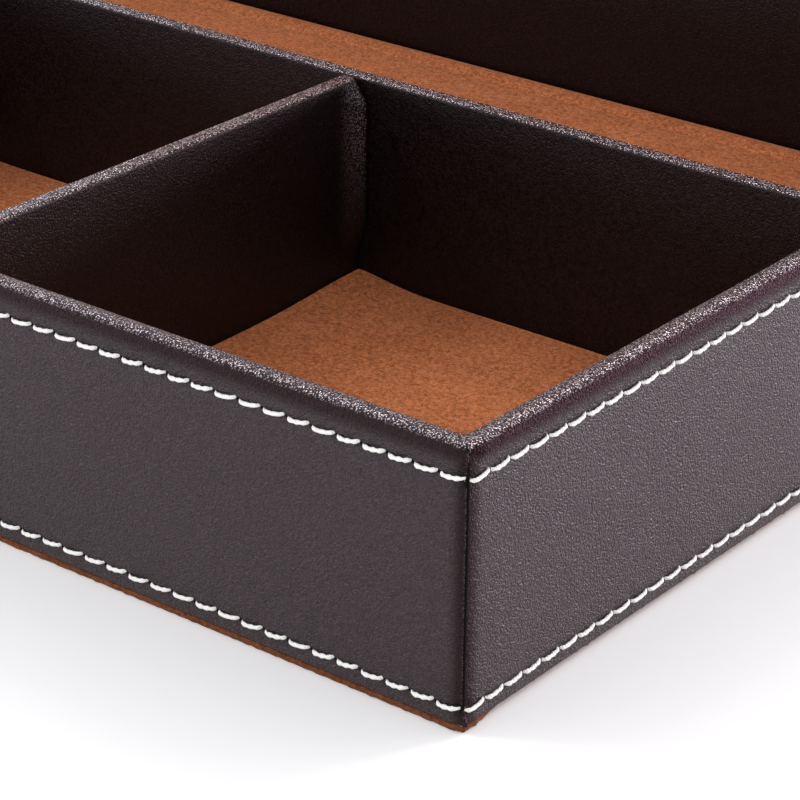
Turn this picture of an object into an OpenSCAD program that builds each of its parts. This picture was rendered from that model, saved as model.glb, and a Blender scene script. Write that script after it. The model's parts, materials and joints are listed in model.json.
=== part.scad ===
// Leatherette desk organizer: a stitched tray with three front compartments, one long rear
// compartment, suede floors and a full-size lid on two stop hinges. Millimetres, +Z up.
// The origin is the centre of the face that rests on the desk; the front wall faces -Y.
// The lid is modelled shut and then swung open, so the drawn pose is the open one.

/* [Tray] */
// Length of the tray along X, over the leatherette
tray_w = 358; // [300:1:420]
// Depth of the tray along Y, over the leatherette
tray_d = 248; // [215:1:300]
// Height of the rims above the desk
tray_h = 50; // [40:1:80]
// Thickness of the front wall and of the two end walls
wall_t = 3.5; // [3:0.1:5]
// Thickness of the rear wall, which takes the hinge screws
rear_wall_t = 7; // [6.5:0.1:10]
// Thickness of the leatherette skin
skin_t = 0.55; // [0.4:0.05:0.7]
// Radius of the skin where it rolls over a rim's outer edge, and over both edges of a divider
rim_r = 1.3; // [0.9:0.1:1.4]
// Radius of the skin where it turns down inside a wall
rim_inner_r = 0.8; // [0.8:0.1:1.4]

/* [Base] */
// Thickness of the suede under the base
base_suede_t = 1.3; // [0.8:0.1:2.5]
// How far the suede's edge stays back from the walls' outer faces
base_suede_inset = 0.2; // [0:0.1:2]
// Thickness of the base board between the walls
base_board_t = 4; // [3:0.5:8]

/* [Dividers] */
// Depth of the front compartments, from the front wall to the long divider
front_row_d = 116.4; // [80:0.1:130]
// Thickness of every divider, over the leatherette
divider_t = 3.7; // [3:0.1:5]
// Gap between a cross divider's wrapped end and the long divider
cross_end_gap = 0.2; // [0.1:0.1:2]

/* [Floor pads] */
// Thickness of a suede floor pad with its card
pad_t = 1.9; // [1:0.1:4]
// Gap between a pad and the walls round it
pad_gap = 0.3; // [0.1:0.1:1]
// Corner radius of a pad, seen from above
pad_corner_r = 1.5; // [0.5:0.1:4]

/* [Stitching] */
// Distance from one stitch to the next, before it is fitted to the row's length
stitch_pitch = 5; // [3:0.1:7]
// Gap between two stitches, where the thread dips into its hole
stitch_hole = 0.7; // [0.5:0.1:1.5]
// Thickness of the thread
thread_d = 0.7; // [0.5:0.05:0.9]
// Depth of the groove that the thread is pulled into
groove_depth = 0.25; // [0.15:0.05:0.3]
// Width of that groove
groove_w = 0.95; // [0.95:0.05:1.4]
// Height of the rims above the upper stitch row
stitch_drop = 5.8; // [4:0.1:10]
// Height of the lower stitch row above the desk
stitch_rise = 4.3; // [3.5:0.1:10]
// Distance from a row's last stitch to the corner
stitch_end = 0.6; // [0.6:0.1:4]

/* [Lid] */
// Thickness of the lid board
lid_board_t = 6; // [6:0.5:10]
// How far the lid overhangs the front wall and the end walls
lid_overhang = 0.5; // [0:0.1:3]
// Gap between the rims and the shut lid
lid_gap = 0.6; // [0.4:0.1:2]
// Width of the leatherette turned in under the lid
lid_turn_in = 14; // [8:1:30]
// Gap between the turned-in leatherette and the suede lining
lining_gap = 0.3; // [0.1:0.1:1]
// How far the lining stands out of the turned-in leatherette
lining_proud = 0.2; // [0.05:0.05:0.3]
// Distance from the lid's edge to its stitch row
lid_stitch_inset = 5.8; // [3:0.1:12]
// Angle that the lid opens through, from shut
lid_open_angle = 105; // [95:1:115]

/* [Pull tab] */
// Width of the tab
tab_w = 22; // [14:1:40]
// How far the tab stands out in front of the lid
tab_out = 15; // [10:1:25]
// Length of the tab's root inside the lid
tab_root = 12; // [6:1:20]
// Thickness of the folded leatherette
tab_t = 1.6; // [1:0.1:2.5]
// Gap round the tab's root
tab_gap = 0.1; // [0.05:0.05:0.3]

/* [Hinges] */
// Distance between the two hinges' middles
hinge_spacing = 230; // [150:1:250]
// Width of a hinge
hinge_w = 30; // [26:1:44]
// Width of the lid's knuckle
lid_knuckle_w = 10; // [6:0.5:10]
// Side gap between two knuckles
knuckle_gap = 0.2; // [0.1:0.05:0.4]
// Outer radius of the knuckles
knuckle_r = 1.9; // [1.7:0.05:2.2]
// Gap between a knuckle and the wall or lid behind it
knuckle_clear = 0.35; // [0.3:0.05:0.6]
// Radius of the hinge pin
pin_r = 0.8; // [0.6:0.05:1]
// Radial gap of the pin in the tray's knuckles
pin_seat_gap = 0.02; // [0.01:0.01:0.05]
// Radial gap of the pin in the lid's knuckle
pin_turn_gap = 0.06; // [0.03:0.01:0.1]
// Thickness of a hinge leaf
leaf_t = 0.9; // [0.7:0.05:1]
// How far the tray's leaf reaches below the pin
tray_leaf_h = 14; // [10:0.5:20]
// How far the lid's leaf reaches above the pin when the lid is shut
lid_leaf_h = 7; // [6.5:0.1:7]
// Gap between the stop finger and the tray's leaf when the lid is open
stop_gap = 0.1; // [0.05:0.05:0.2]
// Length of the stop finger below the knuckle
stop_reach = 1.5; // [1:0.1:3]

/* [Screws] */
// Radius of a screw's shank
screw_r = 0.7; // [0.5:0.05:0.8]
// Radius of its countersunk head
screw_head_r = 1.4; // [1.2:0.05:1.5]
// Length of a screw, from the face of its head
screw_l = 5.5; // [4:0.1:6]
// Gap round a screw in its holes
screw_gap = 0.05; // [0.03:0.01:0.1]
// Distance from the hinge's middle to a screw
screw_x = 9.5; // [8:0.1:10.5]
// Height of the tray leaf's screws below the pin
tray_screw_drop = 8.5; // [6:0.1:8.5]
// Height of the lid leaf's screws above the pin
lid_screw_rise = 4.6; // [4.4:0.1:4.8]

/* [Hidden] */

// Facets of round shapes
$fn = 48;
// Overlap of a cutting solid past the face that it cuts
cut = 1;

leather = [0.13, 0.10, 0.10];
suede = [0.50, 0.25, 0.13];
thread = [0.93, 0.91, 0.87];
fibreboard = [0.62, 0.50, 0.36];
brass = [0.78, 0.62, 0.30];

// Heights of the layers in the tray
walls_z = base_suede_t;
floor_z = walls_z + base_board_t;
pad_top_z = floor_z + pad_t;

// Inner faces of the walls and faces of the long divider
inner_x = tray_w / 2 - wall_t;
front_y = -tray_d / 2 + wall_t;
rear_y = tray_d / 2 - rear_wall_t;
divider_front_y = front_y + front_row_d;
divider_rear_y = divider_front_y + divider_t;

// The cross dividers part the front row into equal bays
bays = 3;
bay_w = (2 * inner_x - (bays - 1) * divider_t) / bays;
function bay_x(i) = -inner_x + i * (bay_w + divider_t);

// The lid, shut
lid_z = tray_h + lid_gap;
lid_t = lid_board_t + 2 * skin_t;
lid_x = tray_w / 2 + lid_overhang;
lid_front_y = -tray_d / 2 - lid_overhang;
lid_rear_y = tray_d / 2;

// The hinge pin's axis, and a leaf's distance from it
pin_to_face = knuckle_r + knuckle_clear;
pin_y = tray_d / 2 + pin_to_face;
pin_z = tray_h + lid_gap / 2;
leaf_start = knuckle_r + knuckle_clear;
tray_knuckle_w = (hinge_w - lid_knuckle_w) / 2 - knuckle_gap;
pin_head_r = 1.25;
pin_head_t = 0.5;

// Strip of thread in the groove that links the stitches, and the screw's slot
thread_strip_t = 0.17;
slot_w = 0.35;
slot_depth = 0.3;

// Outline with rounded upper corners, x across and y up; r1 is the corner near x = 0
module round_top(w, h, r1, r2) {
    square([r1, h - r1]);
    translate([r1, 0]) square([w - r1 - r2, h]);
    translate([w - r2, 0]) square([r2, h - r2]);
    translate([r1, h - r1]) circle(r1);
    translate([w - r2, h - r2]) circle(r2);
}

// Bar along +X, its outline across +Y, from height z0 to z1
module bar(len, t, z0, z1, r1, r2) {
    translate([0, 0, z0]) rotate([90, 0, 90]) linear_extrude(len)
        round_top(t, z1 - z0, r1, r2);
}

// Plate with rounded corners, seen from above
module round_plate(x0, y0, x1, y1, h, r) {
    linear_extrude(h) {
        translate([x0 + r, y0]) square([x1 - x0 - 2 * r, y1 - y0]);
        translate([x0, y0 + r]) square([x1 - x0, y1 - y0 - 2 * r]);
        for (x = [x0 + r, x1 - r], y = [y0 + r, y1 - r]) translate([x, y]) circle(r);
    }
}

// Length and thickness of a wall, and the thickness of the walls that it meets
function wall_len(side) = (side == "front" || side == "rear") ? tray_w : tray_d;
function wall_thick(side) = side == "rear" ? rear_wall_t : wall_t;
function far_thick(side) = (side == "left" || side == "right") ? rear_wall_t : wall_t;

// Moves a wall drawn along +X, with its outer face on y = 0, to its side of the tray
module on_side(side) {
    if (side == "front") translate([-tray_w / 2, -tray_d / 2, 0]) children();
    if (side == "rear") translate([-tray_w / 2, tray_d / 2, 0]) mirror([0, 1, 0]) children();
    if (side == "left") translate([-tray_w / 2, -tray_d / 2, 0]) mirror([1, -1, 0]) children();
    if (side == "right") mirror([1, 0, 0])
        translate([-tray_w / 2, -tray_d / 2, 0]) mirror([1, -1, 0]) children();
}

// Room between the mitres of a wall
module mitre_room(side) {
    len = wall_len(side);
    t = wall_thick(side);
    linear_extrude(tray_h + cut)
        polygon([[0, 0], [len, 0], [len - far_thick(side), t], [wall_t, t]]);
}

// Stitch rows of a wall: [height, first x, last x]
function full_rows(side) = [
    for (z = [tray_h - stitch_drop, stitch_rise]) [z, stitch_end, wall_len(side) - stitch_end]
];
// The rear wall's upper row is cut off where the hinge leaves lie
leaf_lo = tray_w / 2 - hinge_spacing / 2 - hinge_w / 2 - stitch_end;
leaf_hi = tray_w / 2 - hinge_spacing / 2 + hinge_w / 2 + stitch_end;
function rear_rows() = [
    [stitch_rise, stitch_end, tray_w - stitch_end],
    [tray_h - stitch_drop, stitch_end, leaf_lo],
    [tray_h - stitch_drop, leaf_hi, tray_w - leaf_hi],
    [tray_h - stitch_drop, tray_w - leaf_lo, tray_w - stitch_end]
];
function wall_rows(side) = side == "rear" ? rear_rows() : full_rows(side);

// One stitch row along +X: a strip in the groove with a stitch in every step, outer face y = 0
module stitch_row(x0, x1) {
    count = floor((x1 - x0) / stitch_pitch);
    step = (x1 - x0) / count;
    stitch_y = groove_depth - thread_d / 2 - thread_strip_t / 3;
    translate([x0, groove_depth - thread_strip_t, -thread_d / 2])
        cube([x1 - x0, thread_strip_t, thread_d]);
    for (i = [0 : count - 1])
        translate([x0 + i * step + stitch_hole / 2, stitch_y, 0])
            rotate([0, 90, 0]) cylinder(d = thread_d, h = step - stitch_hole, $fn = 16);
}

module groove(len) {
    translate([-cut, -cut, -groove_w / 2])
        cube([len + 2 * cut, groove_depth + cut, groove_w]);
}

// The two screw places of each hinge, in the tray's X
module at_screws() {
    for (hinge = [-1, 1], side = [-1, 1])
        translate([hinge * hinge_spacing / 2 + side * screw_x, 0, 0]) children();
}

module screw_hole(y, z) {
    at_screws() translate([0, y, z]) rotate([90, 0, 0])
        cylinder(r = screw_r + screw_gap, h = screw_l + screw_gap);
}

// Holes of the tray leaf's screws and of the lid leaf's screws
module tray_screw_holes() {
    screw_hole(pin_y - pin_to_face + leaf_t, pin_z - tray_screw_drop);
}
module lid_screw_holes() {
    screw_hole(pin_y - pin_to_face + leaf_t, pin_z + lid_screw_rise);
}

module wall_board(side) {
    t = wall_thick(side) - 2 * skin_t;
    color(fibreboard) difference() {
        on_side(side) intersection() {
            translate([0, skin_t, 0])
                bar(wall_len(side), t, walls_z, tray_h - skin_t,
                    rim_r - skin_t, rim_inner_r - skin_t);
            mitre_room(side);
        }
        if (side == "rear") tray_screw_holes();
    }
}

module wall_cover(side) {
    t = wall_thick(side);
    len = wall_len(side);
    color(leather) difference() {
        on_side(side) difference() {
            intersection() {
                bar(len, t, walls_z, tray_h, rim_r, rim_inner_r);
                mitre_room(side);
            }
            translate([-cut, skin_t, 0])
                bar(len + 2 * cut, t - 2 * skin_t, walls_z - cut, tray_h - skin_t,
                    rim_r - skin_t, rim_inner_r - skin_t);
            translate([-cut, t - skin_t - cut, walls_z - cut])
                cube([len + 2 * cut, skin_t + 2 * cut, floor_z - walls_z + cut]);
            for (row = full_rows(side)) translate([0, 0, row[0]]) groove(len);
        }
        if (side == "rear") tray_screw_holes();
    }
}

module wall_stitching(side) {
    color(thread) on_side(side)
        for (row = wall_rows(side)) translate([0, 0, row[0]]) stitch_row(row[1], row[2]);
}

module base_suede() {
    x = tray_w / 2 - base_suede_inset;
    y = tray_d / 2 - base_suede_inset;
    color(suede) translate([-x, -y, 0]) cube([2 * x, 2 * y, base_suede_t]);
}

module base_board() {
    x = inner_x + skin_t;
    y0 = front_y - skin_t;
    y1 = rear_y + skin_t;
    color(fibreboard) translate([-x, y0, walls_z]) cube([2 * x, y1 - y0, base_board_t]);
}

// The long divider: its board is the same bar, smaller by the skin all round
module long_divider(inset) {
    translate([-inner_x, divider_front_y + inset, 0])
        bar(2 * inner_x, divider_t - 2 * inset, floor_z, tray_h - inset,
            rim_r - inset, rim_r - inset);
}

module long_divider_board() {
    color(fibreboard) long_divider(skin_t);
}

module long_divider_cover() {
    color(leather) difference() {
        long_divider(0);
        long_divider(skin_t);
    }
}

// A cross divider from the front wall to its round end near the long divider
module cross_divider(bay, inset) {
    t = divider_t - 2 * inset;
    end_y = divider_front_y - cross_end_gap - divider_t / 2;
    translate([bay_x(bay) + bay_w + divider_t / 2, 0, 0]) {
        translate([-t / 2, front_y, 0]) mirror([1, -1, 0])
            bar(end_y - front_y, t, floor_z, tray_h - inset, rim_r - inset, rim_r - inset);
        translate([0, end_y, floor_z]) rotate_extrude(angle = 180) intersection() {
            translate([-t / 2, 0]) round_top(t, tray_h - inset - floor_z, rim_r - inset, rim_r - inset);
            square([t, tray_h]);
        }
    }
}

module cross_divider_board(bay) {
    color(fibreboard) cross_divider(bay, skin_t);
}

module cross_divider_cover(bay) {
    color(leather) difference() {
        cross_divider(bay, 0);
        cross_divider(bay, skin_t);
    }
}

module floor_pad(x0, y0, x1, y1) {
    color(suede) translate([0, 0, floor_z])
        round_plate(x0 + pad_gap, y0 + pad_gap, x1 - pad_gap, y1 - pad_gap, pad_t, pad_corner_r);
}

module bay_pad(bay) {
    floor_pad(bay_x(bay), front_y, bay_x(bay) + bay_w, divider_front_y);
}

module floor_pad_rear() {
    floor_pad(-inner_x, divider_rear_y, inner_x, rear_y);
}

// Swings what is drawn on the shut lid back to the open pose
module open_lid() {
    translate([0, pin_y, pin_z]) rotate([-lid_open_angle, 0, 0])
        translate([0, -pin_y, -pin_z]) children();
}

// Slab of the shut lid with rounded upper edges, smaller by inset all round
module lid_slab(inset) {
    x = lid_x - inset;
    y0 = lid_front_y + inset;
    y1 = lid_rear_y - inset;
    z0 = lid_z + inset;
    z1 = lid_z + lid_t - inset;
    r = rim_r - inset;
    intersection() {
        translate([-x, y0, 0]) bar(2 * x, y1 - y0, z0, z1, r, r);
        translate([-x, y0, 0]) mirror([1, -1, 0]) bar(y1 - y0, 2 * x, z0, z1, r, r);
    }
}

// The pull tab, or the room for it when grow is its gap
module tab_shape(grow) {
    y0 = lid_front_y - tab_out;
    r = tab_w / 2;
    translate([0, 0, lid_z + skin_t]) linear_extrude(tab_t + grow) {
        translate([-r - grow, y0 + r]) square([tab_w + 2 * grow, tab_out + tab_root - r + grow]);
        translate([0, y0 + r]) circle(r + grow);
    }
}

// Stitch rows on the lid's upper face: [start corner, angle, length]
function lid_rows() = let (
    x = lid_x - lid_stitch_inset,
    y0 = lid_front_y + lid_stitch_inset,
    y1 = lid_rear_y - lid_stitch_inset,
    d = y1 - y0
) [
    [[-x, y0], 0, 2 * x], [[x, y0], 90, d], [[x, y1], 180, 2 * x], [[-x, y1], 270, d]
];

module on_lid_rows() {
    for (row = lid_rows())
        translate([row[0][0], row[0][1], lid_z + lid_t]) rotate([0, 0, row[1]])
            rotate([-90, 0, 0]) on_row(row[2]) children();
}

// Hands a row's length to what is drawn on it
module on_row(len) {
    $row_len = len;
    children();
}

module lid_board() {
    color(fibreboard) open_lid() difference() {
        lid_slab(skin_t);
        tab_shape(tab_gap);
        lid_screw_holes();
    }
}

module lid_cover() {
    window_x = lid_x - lid_turn_in;
    color(leather) open_lid() difference() {
        lid_slab(0);
        lid_slab(skin_t);
        translate([-window_x, lid_front_y + lid_turn_in, lid_z - cut])
            cube([2 * window_x, lid_rear_y - lid_front_y - 2 * lid_turn_in, skin_t + 2 * cut]);
        tab_shape(tab_gap);
        lid_screw_holes();
        on_lid_rows() translate([-groove_w / 2, 0, 0]) lid_groove($row_len + groove_w);
    }
}

module lid_groove(len) {
    translate([0, -cut, -groove_w / 2]) cube([len, groove_depth + cut, groove_w]);
}

module lid_stitching() {
    color(thread) open_lid() on_lid_rows() stitch_row(thread_d, $row_len - thread_d);
}

module lid_lining() {
    edge = lid_turn_in + lining_gap;
    color(suede) open_lid() translate([0, 0, lid_z - lining_proud])
        round_plate(-lid_x + edge, lid_front_y + edge, lid_x - edge, lid_rear_y - edge,
            skin_t + lining_proud, pad_corner_r);
}

module pull_tab() {
    color(leather) open_lid() tab_shape(0);
}

// Draws an outline of the hinge's section at both hinges: x back from the pin, y up, w wide
module hinge_section(x, w) {
    for (hinge = [-1, 1])
        translate([hinge * hinge_spacing / 2 + x, pin_y, pin_z])
            rotate([90, 0, 90]) linear_extrude(w) children();
}

// Section of a knuckle with the web that joins it to its leaf, the leaf hanging down
module knuckle_outline() {
    circle(knuckle_r);
    polygon([
        [-pin_to_face, -leaf_start], [-pin_to_face + leaf_t, -leaf_start],
        [0, -knuckle_r * 0.95], [0, 0], [-pin_to_face, -lid_gap]
    ]);
}

module leaf_outline(h) {
    translate([-pin_to_face, -h]) square([leaf_t, h - leaf_start]);
}

module pin_bore(gap) {
    for (hinge = [-1, 1])
        translate([hinge * hinge_spacing / 2 - hinge_w, pin_y, pin_z])
            rotate([0, 90, 0]) cylinder(r = pin_r + gap, h = 2 * hinge_w);
}

// Countersunk holes through a leaf at height z
module leaf_holes(z) {
    face_y = pin_y - pin_to_face + leaf_t;
    at_screws() translate([0, face_y, z]) rotate([90, 0, 0]) {
        translate([0, 0, -cut]) cylinder(r = screw_r + screw_gap, h = leaf_t + 2 * cut);
        cylinder(r1 = screw_head_r + screw_gap, r2 = screw_r + screw_gap,
            h = screw_head_r - screw_r);
    }
}

module hinge_tray_leaves() {
    color(brass) difference() {
        union() {
            hinge_section(-hinge_w / 2, hinge_w) leaf_outline(tray_leaf_h);
            for (x = [-hinge_w / 2, hinge_w / 2 - tray_knuckle_w])
                hinge_section(x, tray_knuckle_w) knuckle_outline();
        }
        pin_bore(pin_seat_gap);
        leaf_holes(pin_z - tray_screw_drop);
    }
}

// Stop finger of the lid's knuckle, drawn as it stands against the tray's leaf when open
module stop_finger() {
    x = -pin_to_face + leaf_t + stop_gap;
    y = -knuckle_r - stop_reach;
    rotate(lid_open_angle) polygon([[x, y], [x + leaf_t, y], [0, 0], [x, -knuckle_r / 2]]);
}

module hinge_lid_leaves() {
    color(brass) open_lid() difference() {
        union() {
            hinge_section(-hinge_w / 2, hinge_w) mirror([0, 1]) leaf_outline(lid_leaf_h);
            hinge_section(-lid_knuckle_w / 2, lid_knuckle_w) {
                mirror([0, 1]) knuckle_outline();
                stop_finger();
            }
        }
        pin_bore(pin_turn_gap);
        leaf_holes(pin_z + lid_screw_rise);
    }
}

module hinge_pins() {
    color(brass) for (hinge = [-1, 1])
        translate([hinge * hinge_spacing / 2, pin_y, pin_z]) rotate([0, 90, 0]) {
            translate([0, 0, -hinge_w / 2]) cylinder(r = pin_r, h = hinge_w);
            for (end = [-1, 1]) translate([0, 0, end * (hinge_w + pin_head_t) / 2])
                cylinder(r = pin_head_r, h = pin_head_t, center = true);
        }
}

module screws(z) {
    face_y = pin_y - pin_to_face + leaf_t;
    at_screws() translate([0, face_y, z]) rotate([90, 0, 0]) difference() {
        union() {
            cylinder(r = screw_r, h = screw_l);
            cylinder(r1 = screw_head_r, r2 = screw_r, h = screw_head_r - screw_r);
        }
        translate([-screw_head_r - cut, -slot_w / 2, -cut])
            cube([2 * (screw_head_r + cut), slot_w, slot_depth + cut]);
    }
}

module hinge_tray_screws() {
    color(brass) screws(pin_z - tray_screw_drop);
}

module hinge_lid_screws() {
    color(brass) open_lid() screws(pin_z + lid_screw_rise);
}

base_suede();
base_board();
wall_board("front");  // front_board
wall_board("rear");  // rear_board
wall_board("left");  // left_board
wall_board("right");  // right_board
wall_cover("front");  // front_cover
wall_cover("rear");  // rear_cover
wall_cover("left");  // left_cover
wall_cover("right");  // right_cover
wall_stitching("front");  // front_stitching
wall_stitching("rear");  // rear_stitching
wall_stitching("left");  // left_stitching
wall_stitching("right");  // right_stitching
long_divider_board();
long_divider_cover();
cross_divider_board(0);  // left_divider_board
cross_divider_cover(0);  // left_divider_cover
cross_divider_board(1);  // right_divider_board
cross_divider_cover(1);  // right_divider_cover
bay_pad(0);  // floor_pad_left
bay_pad(1);  // floor_pad_middle
bay_pad(2);  // floor_pad_right
floor_pad_rear();
hinge_tray_leaves();
hinge_pins();
hinge_tray_screws();
lid_board();
lid_cover();
lid_lining();
lid_stitching();
pull_tab();
hinge_lid_leaves();
hinge_lid_screws();
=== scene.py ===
"""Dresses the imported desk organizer: leatherette skins, suede, sewing thread, brass and a plain studio."""
import json
import math
import bmesh
import bpy
import numpy as np
from bpy.props import FloatProperty, FloatVectorProperty, IntProperty, PointerProperty
from bpy.types import NodeSocket, Operator, Panel, PropertyGroup
from mathutils import Matrix, Vector


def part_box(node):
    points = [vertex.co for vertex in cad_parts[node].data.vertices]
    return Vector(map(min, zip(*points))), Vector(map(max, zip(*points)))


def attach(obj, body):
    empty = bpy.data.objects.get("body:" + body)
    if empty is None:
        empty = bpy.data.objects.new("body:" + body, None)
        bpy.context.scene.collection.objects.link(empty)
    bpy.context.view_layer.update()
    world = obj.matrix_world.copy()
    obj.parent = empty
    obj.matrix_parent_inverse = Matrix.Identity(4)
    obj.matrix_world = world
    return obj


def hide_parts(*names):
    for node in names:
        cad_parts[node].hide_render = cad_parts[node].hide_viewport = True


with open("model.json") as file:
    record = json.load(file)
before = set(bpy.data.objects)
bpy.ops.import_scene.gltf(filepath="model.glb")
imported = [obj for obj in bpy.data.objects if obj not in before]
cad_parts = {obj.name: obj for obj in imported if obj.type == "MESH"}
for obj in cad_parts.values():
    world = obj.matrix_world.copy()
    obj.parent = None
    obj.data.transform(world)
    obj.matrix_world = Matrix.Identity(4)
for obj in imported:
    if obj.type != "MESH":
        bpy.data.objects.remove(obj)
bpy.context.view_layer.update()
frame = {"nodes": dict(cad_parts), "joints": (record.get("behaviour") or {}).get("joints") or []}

bl_info = {
    "name": "Leatherette desk organizer",
    "version": (1, 0, 0),
    "blender": (4, 5, 0),
    "location": "View3D > Sidebar > Organizer",
    "description": "Leatherette, suede, thread and brass for a desk organizer with a lift lid",
    "category": "Object",
}

MM = 0.001
SIDES = ("front", "right", "rear", "left")

front_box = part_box("front_cover")
rear_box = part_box("rear_cover")
board_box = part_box("front_board")
floor_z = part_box("base_board")[1].z
skin = board_box[0].y - front_box[0].y
wall = front_box[1].y - front_box[0].y
rear_wall = rear_box[1].y - rear_box[0].y
tray_lo = Vector((front_box[0].x, front_box[0].y, front_box[0].z))
tray_hi = Vector((front_box[1].x, rear_box[1].y, front_box[1].z))
hinge = frame["joints"][0]
# How thick the CAD draws the thread, whose boxes give the places of the stitch rows
cad_thread = 0.7 * MM


def length(words, value):
    """A length in metres that a user may change."""
    return FloatProperty(name=words.capitalize(), description=words, default=value, unit="LENGTH",
                         precision=5)


def colour(words, value):
    """A linear colour that a user may change."""
    return FloatVectorProperty(name=words.capitalize(), description=words, default=value,
                               size=3, subtype="COLOR", min=0, max=1)


def number(words, value):
    """A plain number that a user may change."""
    return FloatProperty(name=words.capitalize(), description=words, default=value)


class LeatherSettings(PropertyGroup):
    """Shape and finish of the leatherette."""

    rim_radius: length("radius of the skin over a rim's outer edge", 1.3 * MM)
    rim_inner_radius: length("radius of the skin where it turns down inside", 0.8 * MM)
    puff: length("how far a panel stands out between its stitch rows", 0.22 * MM)
    rim_puff: length("how far the skin stands out just below the rim", 0.55 * MM)
    row_dip: length("how deep a stitch row pulls the skin in", 0.09 * MM)
    hole_dip: length("how deep a needle hole pulls the skin in", 0.2 * MM)
    waviness: length("height of the skin's slow waves", 0.05 * MM)
    lip_radius: length("radius of the panel's edge that shows round a corner", 0.2 * MM)
    tuck_radius: length("width of the groove where the next panel is tucked in", 1.0 * MM)
    corner_roll: length("how far both panels fall back near a corner", 0.4 * MM)
    inner_fillet: length("radius of the skin in the inner corners", 2.5 * MM)
    end_radius: length("radius of the wrapped end of a cross divider", 1.3 * MM)
    end_lean: length("how far the top of that end leans back", 0.6 * MM)
    pebble: length("size of a pebble of the grain", 0.36 * MM)
    wrinkle: length("size of the flat panels' fine creases", 0.55 * MM)
    rim_crown: length("how far a wall's rim rises in its middle", 0.2 * MM)
    lip_back: length("how far a panel's edge stops short of a corner", 0.5 * MM)
    toe: length("how much further a panel's edge reaches at its foot", 0.9 * MM)
    tuck_depth: length("depth of the groove behind a panel's edge", 0.35 * MM)
    end_flare: length("how far a cross divider's end swells to its side", 3.0 * MM)
    dark: colour("colour in the grain's valleys", (0.0020, 0.0008, 0.0006))
    light: colour("colour on the grain's crests", (0.0240, 0.0140, 0.0135))
    # Painted shade: the near-black colour, made metallic so it hardly reflects, of a fold or a seam
    dull: colour("colour that is left in a dull crease", (0.0125, 0.0060, 0.0055))
    # Painted highlight: the pale metallic colour that makes a rolled edge's crests glint
    painted_glint_colour: colour("colour of the burnished crests on a rolled edge", (0.70, 0.635, 0.685))


class StitchSettings(PropertyGroup):
    """The sewing thread."""

    pitch: length("distance between two needle holes", 5.0 * MM)
    thread: length("thickness of the thread", 0.8 * MM)
    hole: length("gap between two stitches", 0.42 * MM)
    rise: length("how much higher a stitch's right end lies", 0.38 * MM)
    sag: length("how far a stitch bows down", 0.16 * MM)
    bow: length("how far a stitch stands out of the skin", 0.24 * MM)
    colour: colour("colour of the thread", (0.95, 0.93, 0.90))
    seed: IntProperty(name="Seed", description="start of the stitches' small differences",
                      default=7)


class SuedeSettings(PropertyGroup):
    """The suede on the floors, under the base and in the lid."""

    nap: length("size of a tuft of the nap", 0.8 * MM)
    crown: length("height of a floor pad's crown", 0.3 * MM)
    edge: length("radius of a pad's edge", 0.6 * MM)
    dark: colour("colour in the nap's hollows", (0.245, 0.062, 0.0185))
    light: colour("colour of the nap's tips", (0.68, 0.228, 0.090))
    curl: length("how far the left far corner of a floor pad curls up", 1.8 * MM)


class StageSettings(PropertyGroup):
    """The camera, the lamps and the floor."""

    lens: FloatProperty(name="Lens", description="focal length in millimetres", default=136.92)
    eye: FloatVectorProperty(name="Eye", size=3, subtype="TRANSLATION",
                             description="camera's place from the front right corner's foot",
                             default=(242.2 * MM, -326.7 * MM, 249.0 * MM))
    azimuth: FloatProperty(name="Azimuth", description="turn of the view to the right side",
                           default=math.radians(38.01), unit="ROTATION")
    elevation: FloatProperty(name="Elevation", description="angle of the view above the desk",
                             default=math.radians(25.19), unit="ROTATION")
    roll: FloatProperty(name="Roll", description="tilt of the picture",
                        default=math.radians(0.67), unit="ROTATION")
    key: number("power of the softbox at the back right in watts", 5.1)
    rear: number("power of the softbox above the back left in watts", 10.0)
    left: number("power of the softbox at the front left in watts", 3.8)
    front: number("power of the large softbox at the front right in watts", 1.5)
    low_right: number("power of the low softbox at the right in watts", 17.0)
    low_left: number("power of the low softbox at the front left in watts", 5.4)
    surroundings: number("brightness of the white room", 0.9)


# Shader helpers


class Graph:
    """Adds nodes to a tree, each with its inputs set or linked."""

    def __init__(self, tree):
        self.tree = tree

    def feed(self, node, values):
        """Sets a node's inputs, given as name: value, or links them where the value is a socket."""
        for name, value in values.items():
            if isinstance(value, NodeSocket):
                self.tree.links.new(value, node.inputs[name])
            else:
                node.inputs[name].default_value = value

    def add(self, kind, inputs=None, **attributes):
        """A new node with its attributes and inputs."""
        node = self.tree.nodes.new(kind)
        for name, value in attributes.items():
            setattr(node, name, value)
        self.feed(node, inputs or {})
        return node

    def maths(self, operation, a, b=0.0, c=0.0, clamp=False):
        """The result of one operation on up to three values."""
        node = self.add("ShaderNodeMath", {0: a, 1: b, 2: c}, operation=operation, use_clamp=clamp)
        return node.outputs[0]

    def mix(self, factor, a, b):
        """Colour a, which gives way to colour b as the factor grows."""
        return self.add("ShaderNodeMix", {0: factor, 6: a, 7: b}, data_type="RGBA").outputs[2]

    def range(self, value, lo, hi, to_lo=0.0, to_hi=1.0):
        """A value between lo and hi, carried over to another span and kept inside it."""
        node = self.add("ShaderNodeMapRange", {"Value": value, "From Min": lo, "From Max": hi,
                                               "To Min": to_lo, "To Max": to_hi})
        return node.outputs["Result"]

    def group(self, tree, inputs):
        """A node that stands for a shared group."""
        return self.add("ShaderNodeGroup", inputs, node_tree=tree)

    def mask(self, name):
        """A mask that the mesh's own points carry."""
        return self.add("ShaderNodeAttribute", attribute_name=name).outputs["Fac"]

    def bump(self, height, distance, strength=1.0):
        """The normal of a surface that a height raises, by up to a distance in metres."""
        node = self.add("ShaderNodeBump", {"Height": height, "Distance": distance,
                                           "Strength": strength})
        return node.outputs["Normal"]


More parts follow.
